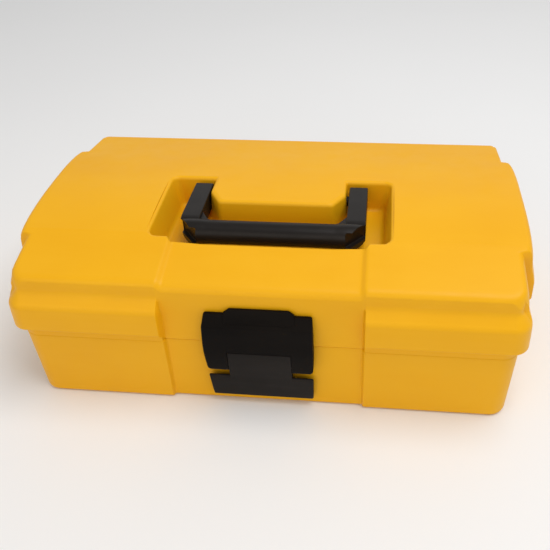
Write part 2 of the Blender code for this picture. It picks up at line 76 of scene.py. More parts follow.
# ---- mesh helpers ------------------------------------------------------------------------
def new_object(name, verts, faces):
    mesh = bpy.data.meshes.new(name)
    mesh.from_pydata([(x * 0.001, y * 0.001, z * 0.001) for x, y, z in verts], [], faces)
    bm = bmesh.new()
    bm.from_mesh(mesh)
    bmesh.ops.recalc_face_normals(bm, faces=bm.faces)
    bm.to_mesh(mesh)
    bm.free()
    obj = bpy.data.objects.new(name, mesh)
    bpy.context.scene.collection.objects.link(obj)
    return obj


def loft(name, rings):
    """Skin equal-length loops and cap both ends."""
    count = len(rings[0])
    verts = [tuple(p) for ring in rings for p in ring]
    faces = []
    for k in range(len(rings) - 1):
        for i in range(count):
            j = (i + 1) % count
            faces.append((k * count + i, k * count + j, (k + 1) * count + j, (k + 1) * count + i))
    faces.append(tuple(range(count))[::-1])
    faces.append(tuple((len(rings) - 1) * count + i for i in range(count)))
    return new_object(name, verts, faces)


def prism(name, outline, low, high, axis="X", bevel=0.0):
    """Extrude a plane outline along an axis, from low to high."""
    place = {"X": lambda a, b, t: (t, a, b), "Y": lambda a, b, t: (a, t, b),
             "Z": lambda a, b, t: (a, b, t)}[axis]
    obj = loft(name, [[place(a, b, t) for a, b in outline] for t in (low, high)])
    return round_edges(obj, bevel) if bevel else obj


def box(name, low, high, bevel=0.0):
    outline = [(low[0], low[1]), (high[0], low[1]), (high[0], high[1]), (low[0], high[1])]
    return prism(name, outline, low[2], high[2], "Z", bevel)


def round_edges(obj, width):
    mod = obj.modifiers.new("round", "BEVEL")
    mod.width = width * 0.001
    mod.segments = 3
    mod.limit_method = "ANGLE"
    mod.angle_limit = math.radians(25)
    return bake(obj)


def bake(obj):
    """Apply the modifiers."""
    graph = bpy.context.evaluated_depsgraph_get()
    mesh = bpy.data.meshes.new_from_object(obj.evaluated_get(graph))
    obj.modifiers.clear()
    old, obj.data = obj.data, mesh
    bpy.data.meshes.remove(old)
    return obj


def boolean(target, tool, operation="DIFFERENCE"):
    """Boolean with a tool, which is used up."""
    mod = target.modifiers.new("cut", "BOOLEAN")
    mod.operation = operation
    mod.solver = "EXACT"
    mod.object = tool
    bake(target)
    bpy.data.objects.remove(tool, do_unlink=True)
    return target


def circle(cy, cz, r, n):
    return [(cy + r * math.cos(2 * math.pi * i / n), cz + r * math.sin(2 * math.pi * i / n))
            for i in range(n)]


def arc(cx, cy, r, a0, a1, n):
    return [(cx + r * math.cos(math.radians(a0 + (a1 - a0) * i / n)),
             cy + r * math.sin(math.radians(a0 + (a1 - a0) * i / n))) for i in range(n + 1)]


def lathe(name, centre, stations, n=40):
    """Round body along X; stations are (x, radius)."""
    return loft(name, [[(x, y, z) for y, z in circle(*centre, r, n)] for x, r in stations])


def rod(name, centre, r, x0, x1, edge=0.0):
    """Round bar along X, between two places in either order, with its end edges eased."""
    x0, x1 = min(x0, x1), max(x0, x1)
    stations = [(x0, r), (x1, r)]
    if edge:
        stations = [(x0, r - edge), (x0 + 0.3 * edge, r - 0.3 * edge), (x0 + edge, r),
                    (x1 - edge, r), (x1 - 0.3 * edge, r - 0.3 * edge), (x1, r - edge)]
    return lathe(name, centre, stations)


def fillet(corners, n=5):
    """Polyline with an arc of n+1 points at every inner corner; corners are (a, b, radius)."""
    pts = [np.array(c[:2], float) for c in corners]
    out = [pts[0]]
    for i in range(1, len(pts) - 1):
        p, radius = pts[i], corners[i][2]
        u, v = pts[i - 1] - p, pts[i + 1] - p
        lu, lv = np.linalg.norm(u), np.linalg.norm(v)
        u, v = u / lu, v / lv
        half = 0.5 * math.acos(max(-1.0, min(1.0, float(u @ v))))
        cut = min(radius / max(math.tan(half), 1e-3), 0.45 * lu, 0.45 * lv)
        if half > math.radians(88):
            out += [p + u * cut * (1 - k / n) + v * cut * (k / n) for k in range(n + 1)]
            continue
        r = cut * math.tan(half)
        bis = (u + v) / np.linalg.norm(u + v)
        centre = p + bis * r / math.sin(half)
        a, b = p + u * cut - centre, p + v * cut - centre
        turn = math.acos(max(-1.0, min(1.0, float(a @ b) / (r * r))))
        for k in range(n + 1):
            t = turn * k / n
            out.append(centre + (a * math.sin(turn - t) + b * math.sin(t)) / math.sin(turn))
    out.append(pts[-1])
    return np.array(out)


def mirrored(values):
    values = sorted(set(values))
    return [-v for v in reversed(values) if v > 0] + values


def perimeter(hx, hy, r, xs, ys, n=9):
    """Points and outward normals round a rounded rectangle, anticlockwise from the left front."""
    pts, normals = [], []

    def side(points, normal):
        for p in points:
            pts.append(p)
            normals.append(normal)

    def corner(cx, cy, start):
        for k in range(n + 1):
            a = math.radians(start + 90.0 * k / n)
            pts.append((cx + r * math.cos(a), cy + r * math.sin(a)))
            normals.append((math.cos(a), math.sin(a)))

    inner_x, inner_y = hx - r, hy - r
    xs = [x for x in xs if abs(x) < inner_x - 0.5]
    ys = [y for y in ys if abs(y) < inner_y - 0.5]
    corner(-inner_x, -inner_y, 180)
    side([(x, -hy) for x in xs], (0.0, -1.0))
    corner(inner_x, -inner_y, 270)
    side([(hx, y) for y in ys], (1.0, 0.0))
    corner(inner_x, inner_y, 0)
    side([(x, hy) for x in reversed(xs)], (0.0, 1.0))
    corner(-inner_x, inner_y, 90)
    side([(-hx, y) for y in reversed(ys)], (-1.0, 0.0))
    return np.array(pts), np.array(normals)


# ---- lid shape -----------------------------------------------------------------------------
def top_z(y):
    a = np.abs(y)
    crown = CREST - (CREST - CREASE_Z) * (a / CREASE_Y) ** 2
    edge = np.where(y < 0, FRONT_EDGE_Z, BACK_EDGE_Z)
    slope = CREASE_Z - (CREASE_Z - edge) * (a - CREASE_Y) / (EDGE_Y - CREASE_Y)
    return np.where(a <= CREASE_Y, crown, slope)


def channel_drop(x, y):
    """Depth of the front channel below the lid's top."""
    return CHANNEL_DEEP * (1 - smooth((np.abs(x) - CHANNEL_X) / 4.6)) * smooth((-y - 50.0) / 4.0)


def in_channel(x, y):
    return (1 - smooth((np.abs(x) - JAMB_X) / 1.9)) * (y < 0)


def in_panel(y):
    """How much of the end panel's bulge there is, round-shouldered towards its two steps."""
    bulge = 0.55 + 0.45 * np.sqrt(np.clip(1 - (y / 59.0) ** 4, 0, 1))
    return bulge * (1 - smooth((np.abs(y) - PANEL_Y + 1.1) / 2.2))


SIDE_X = mirrored([0, 14, 28, 40, 50, 57, 62, 64, 64.4, 64.6, 64.8, 65, 65.2, 65.4, 65.6, 65.8, 66, 66.2,
                   66.4, 66.6, 67, 68, 71, 82, 94, 108, 122, 136, 148])
SIDE_Y = mirrored([0, 10, 20, 30, 38, 44, 49, 52.5, 54.5, 55.6, 56.2, 56.7, 57.2, 57.7, 58.2, 58.7, 60, 64,
                   72, 80, 86])


def lid_band(name, off):
    """The lid's sides as a solid that runs up past the top; off is 0 outside and the wall inside.

    The three profiles hold (inset from the plan, z, radius): beside the panels, on them and in the channel.
    """
    pts, normals = perimeter(LID_X, LID_Y, CORNER, SIDE_X, SIDE_Y)
    ends = np.abs(normals[:, 0]) * (np.abs(normals[:, 1]) < 0.01)
    if off == 0:
        foot = SKIRT_FOOT_Z
        plain = [(3, foot, 0), (0, foot, 3.2), (0, 67, 1), (0, 71.5, 1), (0.3, 80.2, 7.0), (6.9, 88.4, 6.5),
                 (6.3, PAST_TOP_Z, 0)]
        panel = [(3, foot, 0), (0, foot, 3.2), (0, 64.6, 1.5), (-7.4, 69.2, 3.0), (-7.4, 84.5, 8),
                 (-4.8, 96.5, 8), (-1.0, PAST_TOP_Z, 0)]
        front = [(11, 54, 0), (7.0, 54, 0.8), (7.0, 60, 1), (7.0, 68, 1), (7.0, 77, 1), (7.0, 86, 1),
                 (7.0, PAST_TOP_Z, 0)]
    else:
        plain = [(off, 48, 0), (off, 58, 1), (off, 66, 1), (off, 71, 1), (off, 77.4, 4.0), (9.4, 85.2, 4),
                 (8.8, PAST_TOP_Z, 0)]
        panel = [(off, 48, 0), (off, 58, 1), (off, 66.4, 1), (-5.7, 71.2, 1), (-5.7, 84.5, 5),
                 (-2.7, 96.5, 5), (1.1, PAST_TOP_Z, 0)]
        front = [(9.5, 48, 0), (9.5, 54, 1), (9.5, 60, 1), (9.5, 68, 1), (9.5, 77, 1), (9.5, 86, 1),
                 (9.5, PAST_TOP_Z, 0)]
    plain, panel, front = fillet(plain), fillet(panel), fillet(front)
    channel_share = in_channel(pts[:, 0], pts[:, 1]) * (normals[:, 1] < -0.99)
    panel_share = in_panel(pts[:, 1]) * (np.abs(normals[:, 0]) > 0.99)
    rings = []
    for side, bulge, tongue in zip(plain, panel, front):
        inset, z = (side[a] + channel_share * (tongue[a] - side[a]) + panel_share * (bulge[a] - side[a])
                    for a in (0, 1))
        inset = inset - END_DRAW * ends * (1 - panel_share) * np.clip(side[0] / 6.9, 0, 1)
        xy = pts - normals * inset[:, None]
        rings.append([(x, y, h) for (x, y), h in zip(xy, z)])
    return loft(name, rings)


def lid_cap(name, off):
    """Solid under the lid's top surface, with its rim rounded, over a rectangular grid."""
    xs = np.array(mirrored([0, 15, 30, 45, 55, 60, 62, 62.8, 63.6, 64.4, 65.2, 66, 67, 68, 71, 80, 95, 110,
                            125, 138, 148, 153, 156, 158, 159.3, 160.3, 161.1, 161.8, 162.4, 162.9, 163.4,
                            163.8, 164.1, 164.7, 165.5, 166.3, 167, 167.6, 168.1, 168.6, 169.1, 169.6, 170.1,
                            170.5, 170.9, 171.3, 171.7, 172.5, 175, 179]))
    ys = np.array(mirrored([0, 8, 16, 24, 32, 40, 46, 49, 51, 52.2, 53, 53.8, 55, 56.4, 57, 57.5, 58, 58.6,
                            60, 64, 70, 76, 82, 86, 88.5, 90.2, 91.5, 92.6, 93.5, 94.2, 94.8, 95.3, 95.8,
                            96.4, 98, 102, 106]))
    gx, gy = np.meshgrid(xs, ys)
    half_x = 164.0 + (171.4 - 164.0) * in_panel(gy) - off
    half_y = EDGE_Y - 0.7 * in_channel(gx, gy) - off
    r = 12.0 - 7.0 * smooth(gy / 60.0)
    qx, qy = np.abs(gx) - (half_x - r), np.abs(gy) - (half_y - r)
    outside = np.hypot(np.maximum(qx, 0), np.maximum(qy, 0)) + np.minimum(np.maximum(qx, qy), 0) - r
    d, rim = -outside, 5.0 - 2.8 * smooth(gy / 60.0)
    drop = np.where(d >= rim, 0.0, rim - np.sqrt(np.maximum(rim ** 2 - (rim - np.clip(d, 0, rim)) ** 2, 0)))
    drop = drop + np.maximum(-d, 0) * 2.5
    gz = top_z(gy) - channel_drop(gx, gy) - off * 1.03 - drop
    gz = np.maximum(gz, 87.0 - off)
    ny, nx = gx.shape
    verts = [(gx[j, i], gy[j, i], gz[j, i]) for j in range(ny) for i in range(nx)]
    faces = [(j * nx + i, j * nx + i + 1, (j + 1) * nx + i + 1, (j + 1) * nx + i)
             for j in range(ny - 1) for i in range(nx - 1)]
    rim_ids = ([i for i in range(nx)] + [j * nx + nx - 1 for j in range(1, ny)]
               + [(ny - 1) * nx + i for i in range(nx - 2, -1, -1)]
               + [j * nx for j in range(ny - 2, 0, -1)])
    base = len(verts)
    verts += [(verts[k][0], verts[k][1], 40.0) for k in rim_ids]
    count = len(rim_ids)
    for k in range(count):
        m = (k + 1) % count
        faces.append((rim_ids[m], rim_ids[k], base + k, base + m))
    faces.append(tuple(base + k for k in range(count)))
    return new_object(name, verts, faces)


def pocket_plan(g, r, lean=0.0):
    """Outline of the handle's pocket, grown by g; the island in its back edge shrinks."""
    n = 7
    x, y0, y1, ix, iy = POCKET_X + g - lean, POCKET_FRONT - g, POCKET_BACK + g, ISLAND_X - g, ISLAND_Y + g
    notch = 3.0
    step = [(64.0 + 4.0 * k / 8, -notch * (1 - float(smooth(k / 8)))) for k in range(9)]
    pts = arc(-x + r, y0 + r, r, 180, 270, n)
    pts += [(-sx, y0 + sy) for sx, sy in reversed(step)]
    pts += [(sx, y0 - notch) for sx in (-44.0, -20.0, 0.0, 20.0, 44.0)]
    pts += [(sx, y0 + sy) for sx, sy in step]
    pts += arc(x - r, y0 + r, r, 270, 360, n) + arc(x - r, y1 - r, r, 0, 90, n)
    flank = [(ix + 1.6, y1), (ix + 0.5, y1 - 0.5), (ix, y1 - 1.8), (ix, iy + 15), (ix - 0.2, iy + 13.4),
             (ix - 0.9, iy + 11.9), (ix - 3.7, iy + 7.4), (ix - 6.8, iy + 2.6), (ix - 7.8, iy + 1.2),
             (ix - 9.2, iy + 0.3), (ix - 11, iy)]
    pts += flank + [(ix - 30, iy), (0, iy), (-ix + 30, iy)] + [(-a, b) for a, b in reversed(flank)]
    pts += arc(-x + r, y1 - r, r, 90, 180, n)
    return pts


def pocket(name, g):
    """Solid of the handle's pocket, grown by g; only the outer one has a rounded mouth."""
    floor = POCKET_FLOOR - g
    cove = ((3.8, 0.0, 3.6), (2.8, 0.2, 3.3), (2.0, 0.8, 3.0), (1.5, 1.7, 2.8), (1.2, 3.0, 2.5))
    mouth = ((0.0, 2.8), (0.15, 1.9), (0.55, 1.0), (1.2, 0.4), (2.3, 0.03), (2.8, -9.0))
    rings = [[(x, y, floor + up) for x, y in pocket_plan(g - shrink, 4.5, lean)] for shrink, up, lean in cove]
    for grow, down in mouth if g == 0 else ((0.0, -9.0),):
        plan = np.array(pocket_plan(g + grow, 5.0 + grow))
        z = top_z(plan[:, 1]) - channel_drop(plan[:, 0], plan[:, 1]) - down
        rings.append([(x, y, h) for (x, y), h in zip(plan, z)])
    return loft(name, rings)


def lid_mesh():
    lid = boolean(lid_band("lid_moulding", 0), lid_cap("cap_out", 0), "INTERSECT")
    boolean(lid, pocket("pocket_out", 0))
    hollow = boolean(lid_band("hollow", WALL), lid_cap("cap_in", WALL), "INTERSECT")
    boolean(hollow, pocket("pocket_in", WALL))
    boolean(lid, hollow)
    y, z = HINGE
    for side in (-1, 1):
        x = side * HINGE_X
        web = prism("web", [(y - 6.2, z - 1.5), (y + 2.6, z - 1.5), (y + 3.0, z + 1.0), (y - 3.9, z + 9),
                            (y - 3.9, z + 14), (y - 6.2, z + 14)], x - 8.6, x + 8.6, bevel=0.5)
        boolean(lid, web, "UNION")
        boolean(lid, rod("knuckle", HINGE, KNUCKLE_R, x - 9, x + 9, edge=0.4), "UNION")
        boolean(lid, rod("bore", HINGE, HINGE_PIN_R + 0.15, x - 12, x + 12))
        boolean(lid, rod("boss", HANDLE_AXIS, 6.5, side * 40.5, side * 48.0), "UNION")
        boolean(lid, rod("socket", HANDLE_AXIS, TRUNNION_R + 0.35, side * 42.5, side * 49.9))
    return lid


# ---- tub shape -----------------------------------------------------------------------------
TUB_X = mirrored([0, 15, 30, 45, 57, 62, 63.6, 63.9, 64.2, 64.5, 64.8, 65.1, 65.4, 65.7, 66, 66.3, 67.2, 68.2,
                  69.5, 71, 72.5, 74.6, 78, 85, 100, 115, 130, 140])
TUB_Y = mirrored([0, 15, 30, 45, 60, 72, 80])


def tub_row(z, inset, level):
    """One ring of the tub's skin; level picks the front channel's plan at that height."""
    t = min(z / SKIRT_FOOT_Z, 1.0)
    hx = TUB_BOTTOM[0] + (TUB_TOP[0] - TUB_BOTTOM[0]) * t - inset
    hy = TUB_BOTTOM[1] + (TUB_TOP[1] - TUB_BOTTOM[1]) * t - inset
    deep = hy + inset + TUB_CHANNEL_Y
    wide, ramp, depth = {"body": (64.2, 1.9, 2.2 + 1.4 * t), "tongue": (63.9, 2.4, deep),
                         "rim": (68.2, 6.4, deep)}[level]
    pts, normals = perimeter(hx, hy, max(CORNER - inset, 4.0), TUB_X, TUB_Y)
    weight = 1 - smooth((np.abs(pts[:, 0]) - wide - 0.4 * inset) / ramp)
    shift = depth * weight * (normals[:, 1] < -0.99)
    return [(x, y + s, z) for (x, y), s in zip(pts, shift)]


def tub_mesh():
    foot = [(TUB_FOOT_R * (1 - math.cos(a)), TUB_FOOT_R * (1 - math.sin(a)), "body")
            for a in (0, 0.25, 0.5, 0.78, 1.05, 1.3, math.pi / 2)]
    outside = [(52.6, 0, "body"), (53.1, 0.05, "body"), (53.5, 0.3, "body"), (53.7, 0.3, "tongue"),
               (60.3, 0, "tongue"), (60.7, 0, "rim"), (74.3, 0, "rim"), (74.8, 0.2, "rim"),
               (75.0, 0.7, "rim")]
    inside = [(75.0, 1.8, "rim"), (74.8, 2.3, "rim"), (74.3, WALL, "rim"), (58.5, WALL, "rim"),
              (57.8, WALL, "tongue"), (51.0, WALL, "tongue"), (50.0, WALL, "body"), (6.0, WALL, "body"),
              (4.3, 2.9, "body"), (3.1, 3.9, "body"), (2.5, 5.6, "body")]
    tub = loft("tub_moulding", [tub_row(*row) for row in foot + outside + inside])
    for side in (-1, 1):
        ledge = [(162.0, 36.0), (155.0, 39.5), (145.5, 45.0), (145.5, 47.7), (162.0, 47.7)]
        boolean(tub, prism("ledge", [(side * x, z) for x, z in ledge], -58, 58, "Y", bevel=0.5), "UNION")
    y, z = HINGE
    for side in (-1, 1):
        for k in (-1, 1):
            x0 = side * HINGE_X + k * 9.4
            x1 = x0 + k * 6.5
            web = prism("web", [(96.7, z - 10), (y + 2.4, z - 3.2), (y + 2.4, z), (96.7, z + 0.6)],
                        min(x0, x1), max(x0, x1), bevel=0.4)
            boolean(tub, web, "UNION")
            boolean(tub, rod("knuckle", HINGE, KNUCKLE_R, x0 - k * 0.05, x1 + k * 0.05, edge=0.4), "UNION")
        boolean(tub, rod("bore", HINGE, HINGE_PIN_R + 0.35, side * HINGE_X - 17, side * HINGE_X + 17))
    y, z = LEVER_AXIS
    for side in (-1, 1):
        x = LATCH_X + side * 15.0
        boss = prism("boss", [(-93.4, z - 6), (y + 1.5, z - 2.1), (y - 0.8, z - 2.1), (y - 2.1, z - 0.9),
                              (y - 2.1, z + 0.9), (y - 0.8, z + 2.1), (-93.4, z + 2.1)], x - 2.2, x + 2.2)
        boolean(tub, boss, "UNION")
    boolean(tub, rod("bore", LEVER_AXIS, PIN_R + 0.35, -25, 25))
    return tub


# ---- handle, latch and tray shapes ---------------------------------------------------------
def handle_mesh():
    gz = GRIP[1]
    half = [(42.0, 8.1), (45.0, 8.25), (48.0, 8.5), (51.0, 8.6), (56.0, 8.6), (61.0, 8.2), (62.2, 7.7),
            (62.8, 6.8)]
    stations = [(HANDLE_X - x, r) for x, r in reversed(half)] + [(HANDLE_X + x, r) for x, r in half]
    handle = lathe("handle_moulding", GRIP, stations, 56)
    arm = [(11.2, 99.5), (11.2, 109.6), (9.8, 111.6), (-33.5, 112.0), (-38.0, 110.8), (-40.5, 109.2),
           (-40.5, 98.0), (-36.0, 97.2), (3.0, 97.0), (8.0, 97.4)]
    gusset = [(52, -19), (52, -41), (39, -41), (39, -37), (45, -33.5), (49.6, -26)]
    corner = [(64.5, -35.0), (51.5, -50.9), (51.5, -60.0), (70.0, -60.0), (70.0, -35.0)]
    pit = [(62.6, -33.0), (60.4, -35.2), (50.0, -47.9), (50.4, -51.0), (56.0, -55.0), (70.0, -39.0)]
    for side in (-1, 1):
        def upright(name, plan, low, high, bevel=0.0):
            return prism(name, [(HANDLE_X + side * x, y) for x, y in plan], low, high, "Z", bevel)

        x0, x1 = sorted((HANDLE_X + side * 50.0, HANDLE_X + side * 63.0))
        boolean(handle, prism("arm", arm, x0, x1, bevel=0.8), "UNION")
        boolean(handle, upright("gusset", gusset, gz - 3.5, gz + 5.5, 0.7), "UNION")
        boolean(handle, upright("corner", corner, 90, 120))
        boolean(handle, upright("pit", pit, gz - 4.5, gz + 6.6, 0.5))
        boolean(handle, rod("trunnion", HANDLE_AXIS, TRUNNION_R, HANDLE_X + side * 43.5,
                            HANDLE_X + side * 52.0, edge=0.5), "UNION")
    return handle


def plate(name, stations, r=0.9):
    """Flat moulded plate lofted upwards; stations are (z, front y, back y, left x, right x)."""
    rings, n = [], 3
    for z, front, back, left, right in stations:
        q = min(r, 0.45 * (back - front))
        ring = arc(left + q, front + q, q, 180, 270, n) + arc(right - q, front + q, q, 270, 360, n)
        ring += arc(right - q, back - q, q, 0, 90, n) + arc(left + q, back - q, q, 90, 180, n)
        rings.append([(x, y, z) for x, y in ring])
    return loft(name, rings)


def eased(stations, r=0.8):
    """Round a plate's first and last edges by drawing its end stations in."""
    def pulled(station, up, inset):
        z, front, back, left, right = station
        return (z + up, front + inset, back - 0.3 * inset, left + inset, right - inset)

    first, last = stations[0], stations[-1]
    return ([pulled(first, 0, r), pulled(first, 0.3 * r, 0.3 * r), pulled(first, r, 0)] + stations[1:-1]
            + [pulled(last, -r, 0), pulled(last, -0.3 * r, 0.3 * r), pulled(last, 0, r)])


def at_latch(stations):
    """Move a plate's stations from the latch's own middle to its place on the box."""
    return [(z, front, back, LATCH_X + left, LATCH_X + right) for z, front, back, left, right in stations]


def link_mesh():
    main = [(33.8, -100.7, -95.5, -34.4, 34.0), (35.2, -101.0, -95.5, -35.0, 34.6),
            (37, -101.2, -95.5, -35.5, 35.0), (44, -101.9, -95.5, -36.0, 35.3),
            (51, -102.3, -95.5, -36.4, 35.5), (58, -102.4, -95.5, -36.4, 35.3),
            (65, -102.2, -95.5, -36.2, 35.4), (71.0, -101.8, -95.5, -36.0, 35.3),
            (72.2, -101.4, -95.5, -35.9, 35.2), (73.2, -100.8, -95.5, -35.7, 35.2),
            (79.9, -98.2, -95.5, -34.6, 35.0)]
    link = plate("latch_link_moulding", at_latch(eased(main)))
    cap = [(74.2, -100.6, -95.6, -21.8, 24.2), (79, -99.2, -95.6, -21.8, 24.2),
           (81.2, -98.5, -95.6, -21.4, 23.8), (83.8, -97.5, -95.6, -18.6, 21.0)]
    boolean(link, plate("cap", at_latch(eased(cap, 0.6))), "UNION")
    hollow = [(-90, 28), (-90, 74.5), (-98.9, 73.2), (-99.8, 60.0), (-99.6, 51.0), (-98.6, 41.0), (-98.4, 28)]
    boolean(link, prism("hollow", hollow, LATCH_X - 32.8, LATCH_X + 32.8, bevel=0.4))
    boolean(link, box("window", (LATCH_X - 21.1, -110, 20), (LATCH_X + 21.1, -90, 51.3)))
    y, z = LINK_AXIS
    for side in (-1, 1):
        xa, xb = sorted((LATCH_X + side * 21.4, LATCH_X + side * 26.5))
        lug = prism("lug", [(y - 1.2, z - 3.4), (y + 2.2, z - 3.4), (y + 3.4, z - 1.5), (y + 3.4, z + 2.0),
                            (y + 2.2, z + 3.6), (y - 1.2, z + 3.6)], xa, xb)
        boolean(link, lug, "UNION")
    boolean(link, rod("bore", LINK_AXIS, PIN_R + 0.15, -30, 28))
    return link


def lever_mesh():
    y, z = LEVER_AXIS
    centre = [(24.0, -99.5, -95.9, -20.9, 20.9), (30.0, -100.5, -96.6, -20.9, 20.9),
              (36.5, -101.2, -96.6, -20.9, 20.9), (44.0, -101.8, -96.6, -20.9, 20.9),
              (50.7, -102.1, -97.0, -20.9, 20.9)]
    tab = [(8.0, -98.0, -95.0, -34.0, 34.3), (13.0, -98.6, -95.1, -34.4, 34.5),
           (20.0, -99.3, -95.6, -34.8, 34.7), (24.0, -99.8, -95.8, -35.0, 34.8),
           (28.5, -99.9, -98.7, -35.2, 34.9)]
    lever = plate("latch_lever_moulding", at_latch(eased(tab)))
    boolean(lever, plate("centre", at_latch(centre[:1] + eased(centre)[3:]), r=0.4), "UNION")
    for side in (-1, 1):
        x = LATCH_X + side * 15.0
        boolean(lever, box("slot", (x - 2.7, y - 2.5, z - 7), (x + 2.7, -90, z + 7)))
    boolean(lever, rod("bore", LEVER_AXIS, PIN_R + 0.15, -30, 30))
    boolean(lever, rod("bore", LINK_AXIS, PIN_R + 0.35, -30, 30))
    return lever


def tray_mesh():
    (z0, z1), hx, hy = TRAY_Z, TRAY_X, TRAY_Y
    xs, ys = mirrored([0, 30, 60, 90, 120, 138]), mirrored([0, 25, 50, 70])
    levels = [(z0, 6.5), (z0 + 0.3, 5.6), (z0 + 1.1, 5.0), (z0 + 2.4, 4.7), (z1 - 3.0, 3.5), (z1 - 2.6, 3.2),
              (z1 - 2.4, 2.6), (z1 - 2.3, 0.5), (z1 - 2.1, 0.1), (z1 - 0.7, 0.0), (z1 - 0.2, 0.2), (z1, 0.8),
              (z1, 4.2), (z1 - 0.2, 4.9), (z1 - 0.8, 5.4), (z0 + 5.0, 6.5), (z0 + 3.2, 7.1), (z0 + 2.2, 8.6)]
    rings = []
    for z, inset in levels:
        pts, _ = perimeter(hx - inset, hy - inset, 10 - min(inset, 5.0), xs, ys)
        rings.append([(x, y, z) for x, y in pts])
    tray = loft("tray_moulding", rings)
    top = z1 - 4
    walls = [((-148.5, -0.9), (148.5, 0.9), top), ((-52.0, -81.5), (-50.2, 81.5), top),
             ((50.2, -81.5), (52.0, 81.5), top), ((-101.5, -0.5), (-99.7, 81.5), top - 3),
             ((99.7, -81.5), (101.5, 0.5), top - 3)]
    for (xa, ya), (xb, yb), z in walls:
        boolean(tray, box("wall", (xa, ya, z0 + 1.5), (xb, yb, z)), "UNION")
    half = 46.0
    grab = [(-half, z0 + 2), (-half, z1 - 1), (-half + 5, z1 + 5), (half - 5, z1 + 5), (half, z1 - 1),
            (half, z0 + 2)]
    boolean(tray, prism("grab", grab, -3.2, 3.2, "Y", bevel=1.0), "UNION")
    hole = [(-half + 8, z1 - 13), (-half + 8, z1 - 3.5), (-half + 11, z1 - 0.5), (half - 11, z1 - 0.5),
            (half - 8, z1 - 3.5), (half - 8, z1 - 13)]
    boolean(tray, prism("hole", hole, -8, 8, "Y"))
    return tray


# ---- materials -------------------------------------------------------------------------------
class Nodes:
    """Short way to build a procedural material on object coordinates."""

    def __init__(self, name):
        self.mat = bpy.data.materials.new(name)
        self.mat.use_nodes = True
        self.tree = self.mat.node_tree
        self.bsdf = self.tree.nodes["Principled BSDF"]
        self.coords = self.tree.nodes.new("ShaderNodeTexCoord").outputs["Object"]

    def link(self, source, target):
        self.tree.links.new(source, target)

    def noise(self, scale, detail=3.0, rough=0.5, stretch=None):
        node = self.tree.nodes.new("ShaderNodeTexNoise")
        node.inputs["Scale"].default_value = scale
        node.inputs["Detail"].default_value = detail
        node.inputs["Roughness"].default_value = rough
        source = self.coords
        if stretch:
            mapping = self.tree.nodes.new("ShaderNodeMapping")
            mapping.inputs["Scale"].default_value = stretch
            self.link(source, mapping.inputs["Vector"])
            source = mapping.outputs["Vector"]
        self.link(source, node.inputs["Vector"])
        return node.outputs["Fac"]

    def ramp(self, fac, low, high, out_low, out_high):
        node = self.tree.nodes.new("ShaderNodeMapRange")
        node.inputs["From Min"].default_value = low
        node.inputs["From Max"].default_value = high
        node.inputs["To Min"].default_value = out_low
        node.inputs["To Max"].default_value = out_high
        self.link(fac, node.inputs["Value"])
        return node.outputs["Result"]

    def mix(self, fac, first, second):
        node = self.tree.nodes.new("ShaderNodeMix")
        node.data_type = "RGBA"
        for socket, value in ((node.inputs[6], first), (node.inputs[7], second)):
            if isinstance(value, tuple):
                socket.default_value = (*value, 1.0)
            else:
                self.link(value, socket)
        self.link(fac, node.inputs[0])
        return node.outputs[2]

    def bump(self, height, strength, distance, normal=None):
        node = self.tree.nodes.new("ShaderNodeBump")
        node.inputs["Strength"].default_value = strength
        node.inputs["Distance"].default_value = distance
        self.link(height, node.inputs["Height"])
        if normal is not None:
            self.link(normal, node.inputs["Normal"])
        return node.outputs["Normal"]


def moulded_plastic(name, base, deep, pale, rough, grain=0.12, specular=0.2):
    """Polypropylene: slow colour drift, faint flow marks, fine moulded grain, light rubbing."""
    k = Nodes(name)
    drift = k.ramp(k.noise(9.0, 3.0, 0.55), 0.35, 0.65, 0.0, 1.0)
    flow = k.ramp(k.noise(26.0, 4.0, 0.6, (0.35, 1.0, 1.6)), 0.42, 0.62, 0.0, 1.0)
    colour = k.mix(drift, deep, base)
    colour = k.mix(k.ramp(flow, 0.0, 1.0, 0.0, 0.22), colour, pale)
    scuff = k.ramp(k.noise(140.0, 5.0, 0.7, (1.0, 2.6, 1.0)), 0.62, 0.76, 0.0, 0.16)
    colour = k.mix(scuff, colour, pale)
    k.link(colour, k.bsdf.inputs["Base Color"])
    mottle = k.noise(70.0, 4.0, 0.6)
    k.link(k.ramp(mottle, 0.3, 0.7, rough - 0.06, rough + 0.07), k.bsdf.inputs["Roughness"])
    k.bsdf.inputs["Specular IOR Level"].default_value = specular
    sink = k.bump(k.noise(14.0, 2.0, 0.4), 0.10, 0.0008)
    fine = k.bump(k.noise(1500.0, 2.0, 0.5), grain, 0.0001, sink)
    k.link(fine, k.bsdf.inputs["Normal"])
    return k.mat


def drawn_steel(name, tone):
    """Bare steel with fine streaks along the pin."""
    k = Nodes(name)
    streaks = k.noise(300.0, 4.0, 0.6, (0.15, 3.0, 3.0))
    k.link(k.mix(streaks, (tone * 0.75,) * 3, (tone, tone, tone * 1.02)), k.bsdf.inputs["Base Color"])
    k.link(k.ramp(streaks, 0.3, 0.7, 0.22, 0.42), k.bsdf.inputs["Roughness"])
    k.bsdf.inputs["Metallic"].default_value = 1.0
    k.link(k.bump(streaks, 0.12, 0.0001), k.bsdf.inputs["Normal"])
    return k.mat


def floor_material():
    k = Nodes("pale_floor")
    tone = k.mix(k.noise(3.0, 2.0), (0.86, 0.86, 0.86), (0.89, 0.89, 0.89))
    k.link(tone, k.bsdf.inputs["Base Color"])
    k.bsdf.inputs["Roughness"].default_value = 0.85
    k.bsdf.inputs["Specular IOR Level"].default_value = 0.1
    return k.mat


